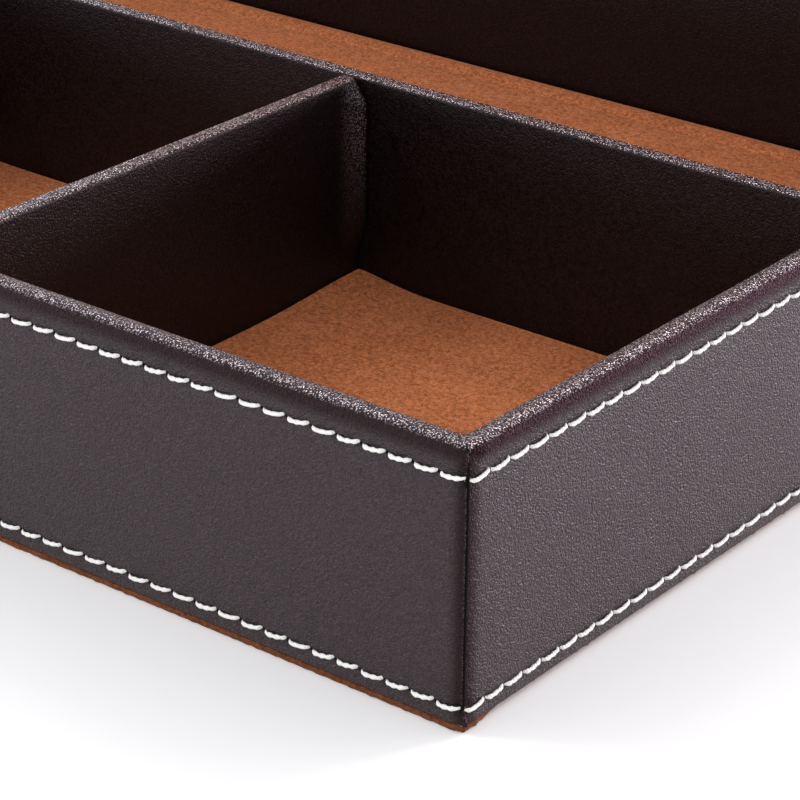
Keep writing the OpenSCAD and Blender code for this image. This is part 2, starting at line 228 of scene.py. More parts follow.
def new_group(name, inputs, outputs):
    """A shader node group with named outputs, and named inputs given as name: default. An input
    without a default is a vector."""
    tree = bpy.data.node_groups.new(name, "ShaderNodeTree")
    for socket, value in inputs.items():
        kind = "NodeSocketVector" if value is None else "NodeSocketFloat"
        made = tree.interface.new_socket(name=socket, in_out="INPUT", socket_type=kind)
        if value is not None:
            made.default_value = value
    for socket in outputs:
        tree.interface.new_socket(name=socket, in_out="OUTPUT", socket_type="NodeSocketFloat")
    graph = Graph(tree)
    given = graph.add("NodeGroupInput").outputs
    end = graph.add("NodeGroupOutput")
    return tree, graph, given, end


def pebble_grain():
    """Group: small round pebbles, parted by creases. Puts out their height."""
    if "Pebble grain" in bpy.data.node_groups:
        return bpy.data.node_groups["Pebble grain"]
    tree, graph, given, end = new_group(
        "Pebble grain", {"Vector": None, "Cell": 0.5 * MM, "Smoothness": 0.3}, ("Height",))
    cells = graph.add("ShaderNodeTexVoronoi", {
        "Vector": given["Vector"], "Scale": graph.maths("DIVIDE", 1.0, given["Cell"]),
        "Smoothness": given["Smoothness"]}, feature="SMOOTH_F1")
    graph.feed(end, {"Height": graph.maths("SUBTRACT", 1.0, cells.outputs["Distance"])})
    return tree


def cloudiness():
    """Group: slow, uneven variation, for handling marks and dye."""
    if "Cloudiness" in bpy.data.node_groups:
        return bpy.data.node_groups["Cloudiness"]
    tree, graph, given, end = new_group(
        "Cloudiness", {"Vector": None, "Size": 20 * MM, "Contrast": 1.0}, ("Mask",))
    noise = graph.add("ShaderNodeTexNoise", {
        "Vector": given["Vector"], "Scale": graph.maths("DIVIDE", 1.0, given["Size"]),
        "Detail": 3.0, "Roughness": 0.55})
    centred = graph.maths("SUBTRACT", noise.outputs["Fac"], 0.5)
    graph.feed(end, {"Mask": graph.maths("MULTIPLY_ADD", centred, given["Contrast"], 0.5,
                                         clamp=True)})
    return tree


def nap_group():
    """Group: the short brushed nap of suede. Puts out its height and its shade."""
    if "Suede nap" in bpy.data.node_groups:
        return bpy.data.node_groups["Suede nap"]
    tree, graph, given, end = new_group(
        "Suede nap", {"Vector": None, "Tuft": 0.5 * MM}, ("Height", "Shade"))
    scale = graph.maths("DIVIDE", 1.0, given["Tuft"])
    tufts = graph.add("ShaderNodeTexNoise", {"Vector": given["Vector"], "Scale": scale,
                                             "Detail": 4.0, "Roughness": 0.7,
                                             "Distortion": 0.6})
    strands_in_tuft = 3.1
    strands = graph.add("ShaderNodeTexNoise", {
        "Vector": given["Vector"], "Scale": graph.maths("MULTIPLY", scale, strands_in_tuft),
        "Detail": 2.0})
    brushed = graph.group(cloudiness(), {"Vector": given["Vector"], "Size": 12 * MM,
                                         "Contrast": 1.3})
    height = graph.maths("MULTIPLY_ADD", strands.outputs["Fac"], 0.5, tufts.outputs["Fac"])
    # Brushed patches are up to 0.15 lighter or darker than the tufts alone
    slow = graph.maths("MULTIPLY_ADD", brushed.outputs["Mask"], 0.3, -0.15)
    shade = graph.maths("ADD", graph.range(height, 0.6, 0.9), slow, clamp=True)
    graph.feed(end, {"Height": height, "Shade": shade})
    return tree


def new_material(name):
    """A material with its graph, its Principled node and the object's own coordinates."""
    made = bpy.data.materials.new(name)
    made.use_nodes = True
    shader = made.node_tree.nodes["Principled BSDF"]
    graph = Graph(made.node_tree)
    place = graph.add("ShaderNodeTexCoord").outputs["Object"]
    return made, graph, shader, place


def opaque(colour, brightness=1.0):
    """A linear colour made brighter or darker, with full cover as its fourth value."""
    return (*(channel * brightness for channel in colour), 1.0)


def leatherette(inside=False):
    """Dark brown leatherette, finely grained, with a painted glint on the crests of its rolled edges. Its
    copy for the inner faces is darker and less glossy: painted shade.
    """
    name = "pebbled_leatherette" + ("_inside" if inside else "")
    if name in bpy.data.materials:
        return bpy.data.materials[name]
    own = bpy.context.scene.organizer_leather
    # The copy for the inner faces is painted shade: its crests half as light, and it reflects less
    brightness, relief, gloss = (0.5, 0.16 * MM, 0.24) if inside else (1.0, 0.32 * MM, 0.43)
    made, graph, shader, place = new_material(name)
    pebbles = graph.group(pebble_grain(), {"Vector": place, "Cell": own.pebble}).outputs[0]
    creases = graph.add("ShaderNodeTexNoise", {
        "Vector": place, "Scale": 1 / own.wrinkle, "Detail": 2.0, "Roughness": 0.6,
        "Distortion": 0.5}).outputs["Fac"]
    clouds = graph.group(cloudiness(), {"Vector": place, "Size": 30 * MM, "Contrast": 1.4})
    roll, dull = graph.mask("roll"), graph.mask("crease")
    # Painted highlight: on a rolled edge only the crests of the pebbles glint, in a pale metallic colour
    painted_glint = graph.maths("MULTIPLY", roll, graph.range(pebbles, 0.56, 0.72))
    grain = graph.mix(graph.range(creases, 0.38, 0.62), opaque(own.dark),
                      opaque(own.light, brightness))
    # Painted shade: where the crease mask is set, the colour turns to the dull near-black
    tint = graph.mix(dull, grain, opaque(own.dull))
    # The pale painted glint of the crests lies over everything else
    tint = graph.mix(painted_glint, tint, opaque(own.painted_glint_colour))
    # A roll is smoother by 0.11, and handling changes the roughness by 0.06
    worn = graph.maths("MULTIPLY_ADD", roll, -0.11, 0.35)
    rough = graph.maths("MULTIPLY_ADD", clouds.outputs["Mask"], 0.06, worn)
    rounded = graph.maths("MULTIPLY", pebbles, graph.maths("MULTIPLY_ADD", roll, 0.6, 0.6))
    # Metallic carries both painted marks: the pale glint shines, and the near-black painted shade hardly
    # reflects
    graph.feed(shader, {
        "Base Color": tint, "Metallic": graph.maths("MAXIMUM", painted_glint, dull), "Roughness": rough,
        "Specular IOR Level": gloss, "Specular Tint": opaque((1.0, 0.81, 0.92)),
        "Normal": graph.bump(graph.maths("ADD", creases, rounded), relief)})
    return made


def suede(name, brightness):
    """Russet suede, its nap's tips lighter than its hollows."""
    if name in bpy.data.materials:
        return bpy.data.materials[name]
    own = bpy.context.scene.organizer_suede
    made, graph, shader, place = new_material(name)
    nap = graph.group(nap_group(), {"Vector": place, "Tuft": own.nap})
    tint = graph.mix(nap.outputs["Shade"], opaque(own.dark, brightness),
                     opaque(own.light, brightness))
    graph.feed(shader, {
        "Base Color": tint, "Roughness": 0.95, "Specular IOR Level": 0.12, "Sheen Weight": 0.12,
        "Sheen Roughness": 0.5, "Sheen Tint": opaque((0.9, 0.6, 0.45)),
        "Normal": graph.bump(nap.outputs["Height"], 0.12 * MM, 0.8)})
    return made


def thread_material():
    """Off-white twisted thread, with painted shade between its plies."""
    if "sewing_thread" in bpy.data.materials:
        return bpy.data.materials["sewing_thread"]
    own = bpy.context.scene.organizer_stitches
    made, graph, shader, place = new_material("sewing_thread")
    plies = graph.add("ShaderNodeTexWave", {"Vector": place, "Scale": 900.0, "Distortion": 2.0,
                                            "Detail": 1.0}, bands_direction="DIAGONAL")
    fibres = graph.add("ShaderNodeTexNoise", {"Vector": place, "Scale": 4000.0})
    ply_shade_and_fibres = graph.maths("MULTIPLY_ADD", fibres.outputs["Fac"], 0.4, plies.outputs["Fac"])
    # Painted shade between the plies, with the fibres' own uneven tone
    tint = graph.mix(graph.range(ply_shade_and_fibres, 0.0, 1.0), opaque(own.colour, 0.8), opaque(own.colour))
    graph.feed(shader, {"Base Color": tint, "Roughness": 0.7,
                        "Normal": graph.bump(ply_shade_and_fibres, 0.04 * MM)})
    return made


def hole_shade_material():
    """Painted shade for a needle hole: the near-black of a slit that stands for the hole's shadow."""
    if "needle_hole_painted_shade" in bpy.data.materials:
        return bpy.data.materials["needle_hole_painted_shade"]
    made, graph, shader, place = new_material("needle_hole_painted_shade")
    torn = graph.group(cloudiness(), {"Vector": place, "Size": 0.4 * MM, "Contrast": 1.5})
    tint = graph.mix(torn.outputs["Mask"], opaque((0.001, 0.0006, 0.0006)),
                     opaque((0.004, 0.0025, 0.0025)))
    graph.feed(shader, {"Base Color": tint, "Roughness": 0.9, "Specular IOR Level": 0.1})
    return made


def fibreboard():
    """Pressed wood fibre, as the boards show inside their skins."""
    if "fibreboard" in bpy.data.materials:
        return bpy.data.materials["fibreboard"]
    made, graph, shader, place = new_material("fibreboard")
    fibres = graph.add("ShaderNodeTexNoise", {"Vector": place, "Scale": 1500.0, "Detail": 5.0})
    clouds = graph.group(cloudiness(), {"Vector": place, "Size": 10 * MM, "Contrast": 1.2})
    shade = graph.maths("MULTIPLY", fibres.outputs["Fac"], clouds.outputs["Mask"])
    tint = graph.mix(graph.range(shade, 0.1, 0.45), opaque((0.27, 0.17, 0.09)),
                     opaque((0.5, 0.36, 0.21)))
    graph.feed(shader, {"Base Color": tint, "Roughness": 0.85,
                        "Normal": graph.bump(fibres.outputs["Fac"], 0.05 * MM)})
    return made


def brass():
    """Lacquered brass, drawn along the hinge, with a few dull spots."""
    if "lacquered_brass" in bpy.data.materials:
        return bpy.data.materials["lacquered_brass"]
    made, graph, shader, place = new_material("lacquered_brass")
    drawn = graph.add("ShaderNodeMapping", {"Vector": place, "Scale": (60.0, 2500.0, 2500.0)})
    lines = graph.add("ShaderNodeTexNoise", {"Vector": drawn.outputs[0], "Scale": 1.0,
                                             "Detail": 3.0})
    spots = graph.group(cloudiness(), {"Vector": place, "Size": 4 * MM, "Contrast": 2.2})
    tint = graph.mix(spots.outputs["Mask"], opaque((0.5, 0.33, 0.12)),
                     opaque((0.78, 0.56, 0.24)))
    dull = graph.maths("MULTIPLY_ADD", spots.outputs["Mask"], -0.15, 0.42)
    rough = graph.maths("MULTIPLY_ADD", lines.outputs["Fac"], 0.12, dull)
    graph.feed(shader, {"Base Color": tint, "Roughness": rough, "Metallic": 1.0,
                        "Normal": graph.bump(lines.outputs["Fac"], 0.01 * MM)})
    return made


# Mesh helpers


def turn_outward(mesh):
    """Turns the faces of a closed mesh outward, by the sign of its volume."""
    places = np.empty(len(mesh.vertices) * 3, np.float32)
    mesh.vertices.foreach_get("co", places)
    mesh.calc_loop_triangles()
    corners = np.empty(len(mesh.loop_triangles) * 3, np.int32)
    mesh.loop_triangles.foreach_get("vertices", corners)
    a, b, c = places.astype(float).reshape(-1, 3)[corners.reshape(-1, 3)].transpose(1, 0, 2)
    if np.einsum("ij,ij->", a, np.cross(b, c)) < 0:
        mesh.flip_normals()


def add_piece(name, points, faces, material, body, replaces=(), roll=None, crease=None,
              placed=None, second=None):
    """A smooth mesh piece that rides on a body and may stand for CAD nodes. Its points may have
    masks: roll, where the skin is rolled over an edge and its crests get a painted glint, and
    crease, where the skin gets painted shade. The second is another material and, for each point,
    whether it has it: faces between such points do."""
    mesh = bpy.data.meshes.new(name)
    mesh.from_pydata([tuple(p) for p in points.reshape(-1, 3)], [], faces)
    mesh.validate()
    turn_outward(mesh)
    mesh.polygons.foreach_set("use_smooth", [True] * len(mesh.polygons))
    for mask, values in (("roll", roll), ("crease", crease)):
        if values is not None:
            mesh.attributes.new(mask, "FLOAT", "POINT").data.foreach_set(
                "value", np.asarray(values, np.float32).ravel())
    mesh.materials.append(material)
    if second is not None:
        other, covered = second
        mesh.materials.append(other)
        mesh.polygons.foreach_set("material_index", [
            int(all(covered[v] for v in face.vertices)) for face in mesh.polygons])
    piece = bpy.data.objects.new(name, mesh)
    bpy.context.scene.collection.objects.link(piece)
    if placed is not None:
        piece.matrix_world = placed
    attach(piece, body)
    if replaces:
        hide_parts(*replaces)
    return piece


def sheet_faces(rows, columns, offset=0, flip=False):
    """Quads of a grid of points, rows by columns."""
    k = offset + np.arange(rows * columns).reshape(rows, columns)
    quads = np.stack([k[:-1, :-1], k[:-1, 1:], k[1:, 1:], k[1:, :-1]], -1).reshape(-1, 4)
    if flip:
        quads = quads[:, ::-1]
    return quads.tolist()


def ring_faces(rings, offset=0, closed_ends=True):
    """Quads between rings and a face across each end."""
    count, points = rings.shape[:2]
    k = offset + np.arange(count * points).reshape(count, points)
    nxt = np.roll(k, -1, 1)
    faces = np.stack([k[:-1], nxt[:-1], nxt[1:], k[1:]], -1).reshape(-1, 4).tolist()
    if closed_ends:
        faces += [k[0, ::-1].tolist(), k[-1].tolist()]
    return faces


def thick_sheet(outer, inner):
    """Points and faces of a closed skin between two grids of the same size."""
    rows, columns = outer.shape[:2]
    count = rows * columns
    faces = sheet_faces(rows, columns) + sheet_faces(rows, columns, count, flip=True)
    k = np.arange(count).reshape(rows, columns)
    for edge in (k[0, :], k[:, -1], k[-1, ::-1], k[::-1, 0]):
        faces += [[b, a, a + count, b + count] for a, b in zip(edge[:-1].tolist(),
                                                               edge[1:].tolist())]
    return np.concatenate([outer.reshape(-1, 3), inner.reshape(-1, 3)]), faces


def both_faces(mask):
    """A mask of a skin's outer points, repeated for the points of its inner face."""
    return np.tile(np.ravel(mask), 2)


def weld(piece):
    """Joins the points of a piece that lie on each other."""
    joined = bmesh.new()
    joined.from_mesh(piece.data)
    bmesh.ops.remove_doubles(joined, verts=joined.verts, dist=0.004 * MM)
    bmesh.ops.dissolve_degenerate(joined, edges=joined.edges, dist=0.001 * MM)
    joined.to_mesh(piece.data)
    joined.free()


def graded(start, stop, coarse, marks=(), fine=0.0, reach=0.0):
    """Places from start to stop, a coarse step apart, and a fine step apart near the marks."""
    places = {start, stop}
    places.update(np.linspace(start, stop, max(2, round(abs(stop - start) / coarse) + 1)))
    for mark in marks:
        for step in np.arange(-reach, reach + fine / 2, fine):
            if min(start, stop) < mark + step < max(start, stop):
                places.add(mark + step)
    ordered = np.array(sorted(places))
    keep = np.concatenate([[True], np.diff(ordered) > 0.02 * MM])
    return ordered[keep]


def edge_places(total, step, first=0.0):
    """Places along a panel: close at its two ends, and an even step apart from a first place."""
    near = np.concatenate([[0], np.geomspace(0.06 * MM, 3 * MM, 14)])
    inner = np.arange(first, total, step)
    inner = inner[(inner > near[-1] + 0.3 * step) & (inner < total - near[-1] - 0.3 * step)]
    return np.concatenate([near, inner, total - near[::-1]])


def waves(u, w, size):
    """A smooth, even wobble between about -1 and 1 over a surface, from a few crossed waves."""
    # Each wave's pace along and across, and its phase; the later ones are lower
    crossed = [(1.0, 0.35, 0.4), (0.63, -0.8, 2.1), (1.7, 0.9, 4.4), (0.31, 1.3, 1.2),
               (2.3, -0.4, 5.3)]
    highest = 2.2
    total = np.zeros(np.broadcast(u, w).shape)
    for k, (fu, fw, phase) in enumerate(crossed):
        total = total + np.sin((u * fu + w * fw) / size * math.tau + phase) / (1.5 + k * 0.4)
    return total / highest


def rolled_edge(distance, radius):
    """How far a skin's surface falls at a distance from its own edge, as a quarter round."""
    inside = np.clip(radius - distance, 0, radius)
    return radius - np.sqrt(np.maximum(radius ** 2 - inside ** 2, 0))


def smooth_step(x):
    """0 up to x = 0, 1 from x = 1, and an even S between them."""
    x = np.clip(x, 0, 1)
    return x * x * (3 - 2 * x)


class Row:
    """A stitch row: first needle hole, direction along it, direction up across it, outward."""

    # Half-width of the furrow that a row pulls, how far along and across a hole pinches the skin,
    # and how far past its last hole a row still pulls
    furrow = 0.6 * MM
    pinch_along, pinch_across = 0.8 * MM, 0.9 * MM
    overrun = 0.6 * MM

    def __init__(self, start, along, up, total, start_u=0.0):
        self.start, self.along, self.up = (np.array(v, float) for v in (start, along, up))
        self.out = np.cross(self.along, self.up)
        self.total, self.start_u = total, start_u
        pitch = bpy.context.scene.organizer_stitches.pitch
        self.count = max(1, math.floor(total / pitch + 1e-6))
        self.step = total / self.count

    def pull(self, points):
        """How far this row pulls a surface in at some points."""
        own = bpy.context.scene.organizer_leather
        away = points - self.start
        u = away @ self.along
        across = away @ self.up
        inside = smooth_step((u + self.overrun) / (2 * self.overrun))
        inside = inside * smooth_step((self.total + self.overrun - u) / (2 * self.overrun))
        to_hole = np.abs(u / self.step - np.round(u / self.step)) * self.step
        line = own.row_dip * np.exp(-(across / self.furrow) ** 2)
        pinch = own.hole_dip * np.exp(-(to_hole / self.pinch_along) ** 2
                                      - (across / self.pinch_across) ** 2)
        return (line + pinch) * inside


def stitch_mesh(rows, rng):
    """Points and faces of every stitch: two-ply thread that sags, rises and dives at its ends."""
    own = bpy.context.scene.organizer_stitches
    rings, sides = 17, 10
    # The thread is pressed flat, its plies go round it 1.6 times in a stitch and make it 0.13
    # thicker where they stand out, its lumps make it 0.09 thicker, and its ends lie deep
    flat, turns, ply, lump, sunk = 0.85, 1.6, 0.13, 0.09, 0.42 * MM
    lumps_in_stitch = 3.2
    t = np.linspace(0, 1, rings)
    turn = np.linspace(0, math.tau, sides, endpoint=False)
    points, faces = [], []
    for row in rows:
        for k in range(row.count):
            jitter = rng.uniform(-1, 1, 6)
            gap = own.hole * (1 + 0.2 * jitter[5])
            along = k * row.step + gap / 2 + t * (row.step - gap)
            up = own.rise * (1 + 0.25 * jitter[0]) * t ** 2
            up = up - own.sag * (1 + 0.25 * jitter[1]) * np.sin(math.pi * t ** 0.7)
            up = up + 0.05 * MM * jitter[2]
            dive = 1 - np.abs(2 * t - 1) ** 6
            out = -sunk + dive * (own.bow + sunk) * (1 + 0.08 * jitter[3])
            radius = own.thread / 2 * (0.5 + 0.5 * np.sqrt(np.clip(dive, 0, 1)))
            centre = (row.start + along[:, None] * row.along + up[:, None] * row.up
                      + out[:, None] * row.out)
            plies = np.cos(2 * (turn[None, :] - t[:, None] * turns * math.tau) + 3 * jitter[4])
            lumps = 1 + lump * np.sin((t * lumps_in_stitch + jitter[4]) * math.tau)[:, None]
            size = (radius[:, None] * lumps * (0.93 + ply * plies))[..., None]
            tube = centre[:, None, :] + (np.cos(turn)[None, :, None] * row.up
                                         + np.sin(turn)[None, :, None] * row.out * flat) * size
            faces += ring_faces(tube, len(points) * rings * sides)
            points.append(tube.reshape(-1, 3))
    return np.concatenate(points), faces


def hole_shade_mesh(rows):
    """Points and faces of the painted shade in the needle holes: small dark lens-shaped slits between the
    stitches.
    """
    own = bpy.context.scene.organizer_stitches
    leather = bpy.context.scene.organizer_leather
    sides, slant, half_depth = 10, 0.45, 0.08 * MM
    # A slit lies just above the bottom of the pinch that its hole makes in the skin
    deep = leather.row_dip + leather.hole_dip - 0.06 * MM
    points, faces = [], []
    for row in rows:
        lean = row.up - row.along * slant
        lean = lean / np.linalg.norm(lean)
        across = np.cross(lean, row.out)
        for k in range(1, row.count):
            centre = row.start + k * row.step * row.along + own.rise * 0.3 * row.up
            centre = centre - row.out * deep
            base = len(points) * (sides + 2)
            rim = [centre + lean * math.sin(a) * own.thread * 0.75
                   + across * math.cos(a) * own.hole * 0.8
                   for a in np.linspace(0, math.tau, sides, endpoint=False)]
            points.append(np.array(rim + [centre + row.out * half_depth,
                                          centre - row.out * half_depth]))
            for a in range(sides):
                b = (a + 1) % sides
                faces.append([base + b, base + a, base + sides])
                faces.append([base + a, base + b, base + sides + 1])
    return np.concatenate(points), faces


def sew(name, rows, body, replaces, placed=None, seed=0):
    """Adds the stitches of some rows, and the painted shade of their needle holes."""
    rng = np.random.default_rng(bpy.context.scene.organizer_stitches.seed + seed)
    points, faces = stitch_mesh(rows, rng)
    add_piece(name, points, faces, thread_material(), body, replaces, placed=placed)
    points, faces = hole_shade_mesh(rows)
    add_piece(name + "_hole_shades", points, faces, hole_shade_material(), body,
              placed=placed)


# The four walls


def side_frame(side):
    """Start corner, direction along, direction into the wall, its length and both thicknesses."""
    x0, y0, x1, y1 = tray_lo.x, tray_lo.y, tray_hi.x, tray_hi.y
    wide, deep = x1 - x0, y1 - y0
    return {
        "front": ((x0, y0), (1, 0), (0, 1), wide, wall, wall, wall),
        "right": ((x1, y0), (0, 1), (-1, 0), deep, wall, wall, rear_wall),
        "rear": ((x1, y1), (-1, 0), (0, -1), wide, rear_wall, wall, wall),
        "left": ((x0, y1), (0, -1), (1, 0), deep, wall, rear_wall, wall),
    }[side]


def on_side(side, u, v, w):
    """Points of a wall: u along it, v into it from its outer face, w up."""
    (sx, sy), (ax, ay), (bx, by) = side_frame(side)[:3]
    return np.stack(np.broadcast_arrays(sx + u * ax + v * bx, sy + u * ay + v * by, w), -1)


def wall_rows(side):
    """The stitch rows of a wall, from the CAD thread's own place."""
    (sx, sy), along, _, total = side_frame(side)[:4]
    lo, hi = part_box(side + "_stitching")
    low, high = lo.z + cad_thread / 2, hi.z - cad_thread / 2
    end = lo.x - tray_lo.x if side in ("front", "rear") else lo.y - tray_lo.y
    spans = {low: [(end, total - end)], high: [(end, total - end)]}
    if side == "rear":
        # The upper row stops short of both hinges
        leaves = [abs(v.co.x) for v in frame["nodes"]["hinge_tray_leaves"].data.vertices]
        before, after = tray_hi.x - max(leaves) - end, tray_hi.x - min(leaves) + end
        spans[high] = [(end, before), (after, total - after), (total - before, total - end)]
    rows = []
    for height, pieces in spans.items():
        for first, last in pieces:
            start = (sx + along[0] * first, sy + along[1] * first, height)
            rows.append(Row(start, (*along, 0), (0, 0, 1), last - first, first))
    return rows


def rim_path(thick, bottom, inner_bottom, top, outer_r, inner_r, marks=()):
    """Points across a wrapped board: depth, height, outward normal, length past the outer face's
    end, and how far inside they lie, from 0 outside to 1 on the inner face. They lie closer by
    the marked heights and below the rim."""
    outer = graded(bottom, top - outer_r, 1.9 * MM, [*marks, bottom], 0.28 * MM, 1.4 * MM)
    outer = np.unique(np.concatenate([outer, np.arange(top - outer_r - 4.2 * MM,
                                                       top - outer_r - 0.1 * MM, 0.6 * MM)]))
    outer = outer[np.concatenate([[True], np.diff(outer) > 0.02 * MM])]
    path = [(0.0, w, -1.0, 0.0) for w in outer[:-1]]
    path += [(outer_r - outer_r * math.cos(a), top - outer_r + outer_r * math.sin(a),
              -math.cos(a), math.sin(a)) for a in np.linspace(0, math.pi / 2, 9)]
    first, flat = len(path) - 1, thick - outer_r - inner_r
    path += [(outer_r + flat * f, top, 0.0, 1.0) for f in (0.25, 0.5, 0.75)]
    path += [(thick - inner_r + inner_r * math.sin(a), top - inner_r + inner_r * math.cos(a),
              math.sin(a), math.cos(a)) for a in np.linspace(0, math.pi / 2, 6)]
    inner = np.arange(top - inner_r, inner_bottom + 1 * MM, -4.5 * MM)
    path += [(thick, w, 1.0, 0.0) for w in [*inner[1:], inner_bottom]]
    v, w, nv, nw = np.array(path).T
    run = np.concatenate([[0], np.cumsum(np.hypot(np.diff(v), np.diff(w)))])
    past = run - run[len(outer) - 1]
    inside = np.clip((v - outer_r) / flat, 0, 1) * (np.arange(len(v)) >= first)
    return v, w, nv, nw, past, inside


def rim_share(w, top, radius):
    """1 on the rim's top, falling to 0 two thirds of the way down its round edge."""
    return smooth_step((w - (top - 0.65 * radius)) / (0.55 * radius))


def rim_bulge(past):
    """Roundness of the skin just below a rim, from the length past the outer face's end."""
    fullest, below, above = -0.5 * MM, 1.5 * MM, 1.2 * MM
    away = past - fullest
    return np.exp(-(away / np.where(away < 0, below, above)) ** 2)


def wall_masks(side, v, w, past, to_start, to_end, seam):
    """Where a wall's skin gets a painted glint, and where it gets painted shade."""
    own = bpy.context.scene.organizer_leather
    # The rim's painted glint weakens to its inner edge, and a trace of it runs down the lapped edge
    roll = rim_share(w, tray_hi.z, own.rim_radius) * (
        1 - 0.45 * smooth_step((v - own.rim_radius) / (1.6 * MM)))
    roll = np.maximum(roll, 0.1 * (1 - smooth_step(to_end / (0.5 * MM))))
    # Painted shade: the skin is darkened and hardly reflects in the fold below the rolled rim,
    # most of all on the short walls, and where it falls back to a seam
    deepest_shade = 0.95 if side in ("left", "right") else 0.72
    fold = deepest_shade * smooth_step((1.8 * MM - past) / (1.2 * MM))
    fold = fold * smooth_step((past + 2.8 * MM) / (2.4 * MM))
    edge = np.minimum(to_start, to_end)
    seam_shade = 0.8 * (1 - smooth_step((edge - 0.5 * MM) / (2.6 * MM))) * seam
    return roll, np.maximum(fold, seam_shade)


def wall_cover(side):
    """The skin of one wall: outer panel, rolled rim and inner panel, joined at both corners."""
    own = bpy.context.scene.organizer_leather
    total, thick, before, after = side_frame(side)[3:]
    rows = wall_rows(side)
    low, high = min(r.start[2] for r in rows), max(r.start[2] for r in rows)
    top, radius = tray_hi.z, own.rim_radius
    v, w, nv, nw, past, inside = rim_path(thick, tray_lo.z, floor_z, top, radius,
                                          own.rim_inner_radius, (low, high))
    u = edge_places(total, rows[0].step / 4, rows[0].start_u)[:, None]
    to_start, to_end = u + 0 * v, total - u + 0 * v
    edge = np.minimum(to_start, to_end)
    outside = (nv < -0.5) * 1.0

    # Below the rim the panel's start is tucked behind the neighbour's edge; on the rim both
    # meet on the mitre, and inside they are bridged by a round fillet
    seam = outside * smooth_step((top - 0.2 * MM - w) / radius)
    bridge = own.inner_fillet
    bridge_end = (1 - math.sqrt(0.5)) * bridge
    lap = (skin + 0.1 * MM) * seam
    toe_height, reach = 4 * MM, 12 * MM
    toe = own.toe * (1 - smooth_step((w - tray_lo.z) / toe_height))
    shift_in = lap + v * (before - lap) / thick + inside * bridge_end
    shift_out = v * after / thick * (1 - seam) + inside * bridge_end - (toe - own.lip_back) * seam
    fall_in, fall_out = (1 - smooth_step(e / reach) for e in (to_start, to_end))
    place = u + shift_in * fall_in - shift_out * fall_out
    from_end = np.minimum(place - shift_in, total - shift_out - place)
    round_d = np.clip(bridge - bridge_end - from_end, 0, bridge - bridge_end)
    fillet = inside * (bridge - np.sqrt(bridge ** 2 - round_d ** 2))

    # What falls back: both edges of the panel, its corners, its foot and the stitch rows
    tuck = rolled_edge(to_start, own.tuck_radius) / own.tuck_radius * own.tuck_depth * seam
    lip = rolled_edge(to_end, own.lip_radius) * seam
    corner_width, foot_radius = 3.2 * MM, 0.4 * MM
    roll = own.corner_roll * (1 - smooth_step(edge / corner_width)) * (outside + (nw > 0) * 0.2)
    foot = rolled_edge(w - tray_lo.z, foot_radius) * outside
    base = on_side(side, place, v, w)
    pulled = sum(row.pull(base) for row in rows) * outside

    # What stands out: the panel between its rows, the collar below the rim and slow waves, all
    # three less near a corner, and the rim's crown
    panel_end, collar_end = 9 * MM, 4 * MM
    panel = np.clip((w - low) / (high - low), 0, 1)
    ends = smooth_step(edge / panel_end)
    puff = own.puff * np.sin(math.pi * panel) ** 0.6 * (nv < -0.99) * ends
    collar = own.rim_puff * rim_bulge(past) * (1 - inside) * smooth_step(edge / collar_end)
    crown = own.rim_crown * np.sin(math.pi * np.clip(v / thick, 0, 1)) * np.maximum(nw, 0)
    swell = puff + collar + crown + own.waviness * waves(place, w, 55 * MM) * ends

    out = swell - tuck - lip - roll - foot - pulled
    # The inner face stays 0.2 mm behind the outer one where that is pulled in
    deep = np.maximum(skin, 0.2 * MM - out)
    outer = on_side(side, place, v + nv * out + fillet, w + nw * out)
    lining = on_side(side, place, v - nv * deep, np.maximum(w - nw * deep, tray_lo.z))
    points, faces = thick_sheet(outer, lining)
    painted_glint, crease = wall_masks(side, v, w, past, to_start, to_end, seam)
    inner = np.broadcast_to(nv > 0.99, outer.shape[:2])
    # The outer face carries the painted glint and painted shade; the inner face takes the darker copy,
    # painted shade
    add_piece(side + "_leather", points, faces, leatherette(), "tray",
              [side + "_cover"], both_faces(painted_glint), both_faces(crease * outside),
              second=(leatherette(inside=True), both_faces(inner)))


def seam_gap_shade(side):
    """Painted shade: a dark tube in the gap where the panel is tucked in at a wall's first corner."""
    sides, levels = 12, 24
    from_corner, deep, radius, above, below = 0.8 * MM, 0.72 * MM, 0.38 * MM, 0.3 * MM, 1.6 * MM
    turn = np.linspace(0, math.tau, sides, endpoint=False)
    w = np.linspace(tray_lo.z + above, tray_hi.z - below, levels)[:, None]
    # It is a little uneven, and rounded at both ends
    size = radius * (1 + 0.06 * np.sin(w / (3.1 * MM)) * np.sin(w / (1.3 * MM)))
    size = size * np.sqrt(np.clip(np.minimum(w - w[0], w[-1] - w) / MM + 0.05, 0, 1))
    rings = on_side(side, from_corner + size * np.cos(turn), deep + size * np.sin(turn), w)
    add_piece(side + "_seam_gap_shade", rings, ring_faces(rings), hole_shade_material(), "tray")


class OrganizerWalls(Operator):
    """Wraps the four walls in leatherette and sews their panels"""

    bl_idname = "organizer.walls"
    bl_label = "Wrap and sew the walls"

    def execute(self, context):
        for k, side in enumerate(SIDES):
            wall_cover(side)
            seam_gap_shade(side)
            sew(side + "_stitches", wall_rows(side), "tray", [side + "_stitching"], seed=k)
        return {"FINISHED"}


# The dividers


